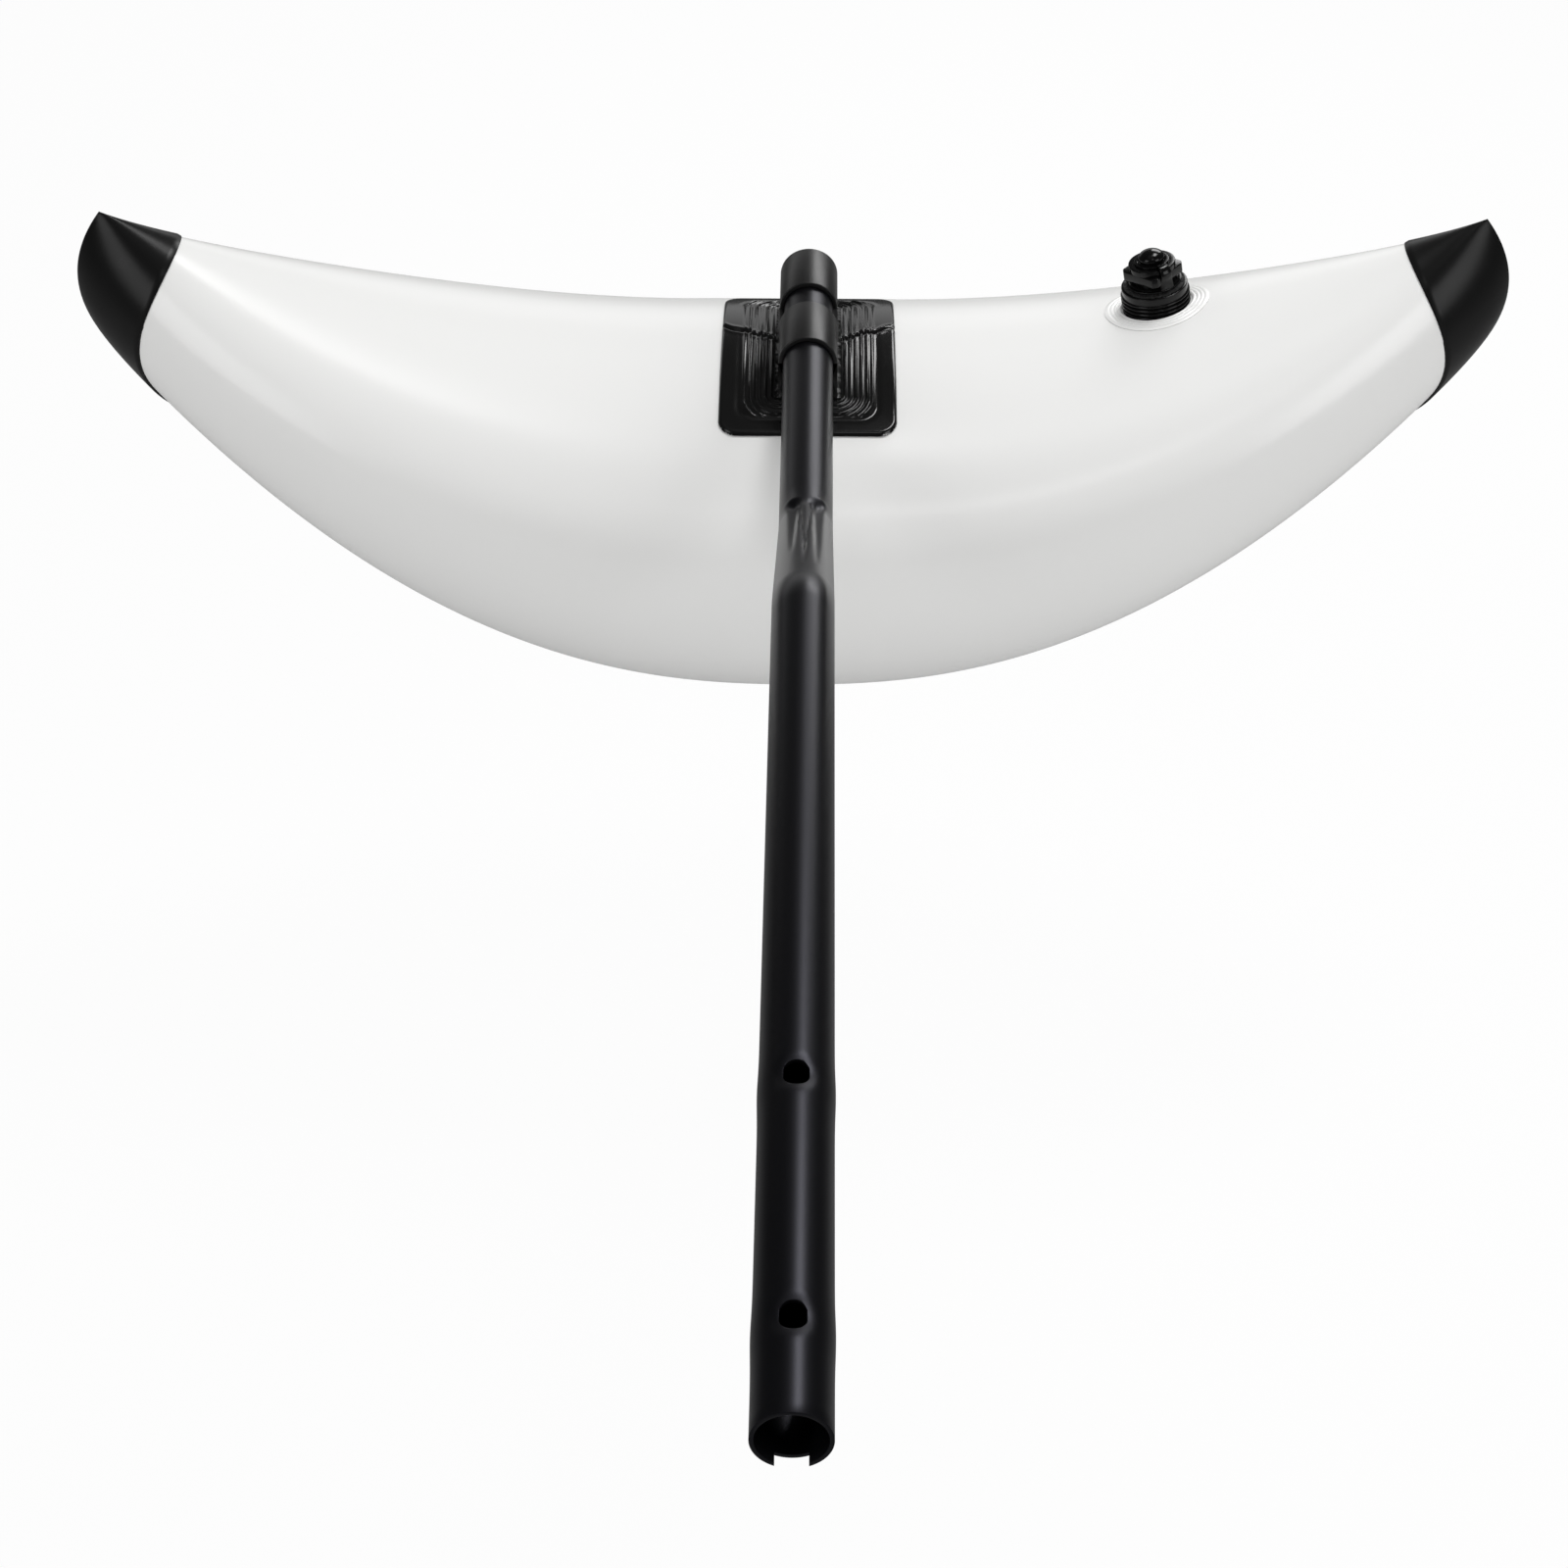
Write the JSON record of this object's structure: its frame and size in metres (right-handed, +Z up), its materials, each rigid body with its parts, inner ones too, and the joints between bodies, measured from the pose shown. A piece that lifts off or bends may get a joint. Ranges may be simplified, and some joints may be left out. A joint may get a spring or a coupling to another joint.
{
  "type": "kayak outrigger",
  "caption": "Inflated white float with black end caps and an air valve, carried in a welded sleeve on a cranked black arm tube that plugs into a kayak.",
  "frame": {"origin": "centre of the arm tube's open end at the kayak", "axes": "+Y runs along the arm's outer run towards the float, +X along the float, +Z up"},
  "size_m": [0.9294, 1.1775, 0.3881],
  "materials": {
    "arm_coat": "gloss black coating",
    "float_skin": "semi-gloss coated fabric",
    "black_trim": "semi-gloss moulded",
    "valve_black": "satin moulded",
    "seal_rubber": "matt"
  },
  "bodies": {
    "arm": {"arm_tube": "arm_coat"},
    "float": {"mount_pad": "black_trim", "sleeve_cradle": "black_trim", "band_front": "black_trim", "band_rear": "black_trim", "deck_panel": "float_skin", "hull_panel": "float_skin", "end_cap_left": "black_trim", "end_cap_right": "black_trim", "valve_patch": "float_skin", "valve_flange": "float_skin", "valve_boot": "valve_black"},
    "insert": {"valve_insert": "valve_black", "insert_gasket": "seal_rubber", "flap": "seal_rubber", "flap_stud": "seal_rubber", "cap_tether": "valve_black"},
    "plug": {"plug_cap": "valve_black", "plug_seal": "seal_rubber"}
  },
  "joints": [
    {"name": "float_turn", "type": "hinge", "parent": "arm", "child": "float", "pos_m": [0, 1.023, -0.11], "axis": [0, 1, 0], "continuous": true},
    {"name": "insert_unscrew", "type": "hinge", "parent": "float", "child": "insert", "pos_m": [0.23, 1.047, -0.11199], "axis": [-0.1736, 0, 0.9848], "range_deg": [0, 540]},
    {"name": "plug_pull", "type": "slide", "parent": "insert", "child": "plug", "axis": [-0.1736, 0, 0.9848], "range_m": [0, 0.015]}
  ]
}
